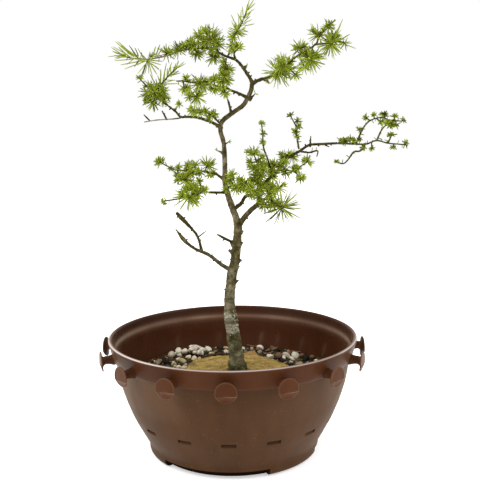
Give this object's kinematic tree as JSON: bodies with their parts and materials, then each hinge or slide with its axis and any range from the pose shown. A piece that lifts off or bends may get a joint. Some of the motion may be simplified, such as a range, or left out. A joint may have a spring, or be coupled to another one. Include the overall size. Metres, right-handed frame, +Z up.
{
  "type": "larch bonsai in training pot",
  "caption": "Young American larch trained as a bonsai, with bare trunk, open crown of soft needle tufts and gravel-topped soil, in a round brown plastic training pot with buttons and drain slots",
  "frame": {"origin": "On the surface the pot stands on, under the middle of the whole plant's bounding box, branches included", "axes": "+Z up along the trunk, +X to the right and +Y away from the viewer, seen from the front of the plant, the side with the long bare dead branch at the lower left"},
  "size_m": [0.3516, 0.301, 0.4981],
  "materials": {
    "plastic": "moulded, satin collar and duller bowl",
    "potting_soil": "dark, loose and damp",
    "sandy_soil": "fine sand and fibre",
    "gravel": "broken, mixed pale and dark",
    "bark": "thin scaly bark with some lichen",
    "needles": "soft living leaf, matt"
  },
  "bodies": {
    "root": {"pot": "plastic", "soil": "potting_soil", "root_ball": "sandy_soil", "stones": "gravel", "wood": "bark", "spray_left_top": "needles", "spray_leader": "needles", "spray_top_twig": "needles", "spray_hanging": "needles", "spray_right_top": "needles", "spray_left_upper": "needles", "spray_left_inner": "needles", "spray_left_cluster": "needles", "spray_left_small": "needles", "spray_left_middle": "needles", "spray_left_low": "needles", "spray_trunk": "needles", "spray_middle_a": "needles", "spray_middle_b": "needles", "spray_middle_c": "needles", "spray_middle_d": "needles", "spray_middle_e": "needles", "spray_low_right": "needles", "spray_right": "needles", "spray_riser": "needles"}
  },
  "joints": []
}
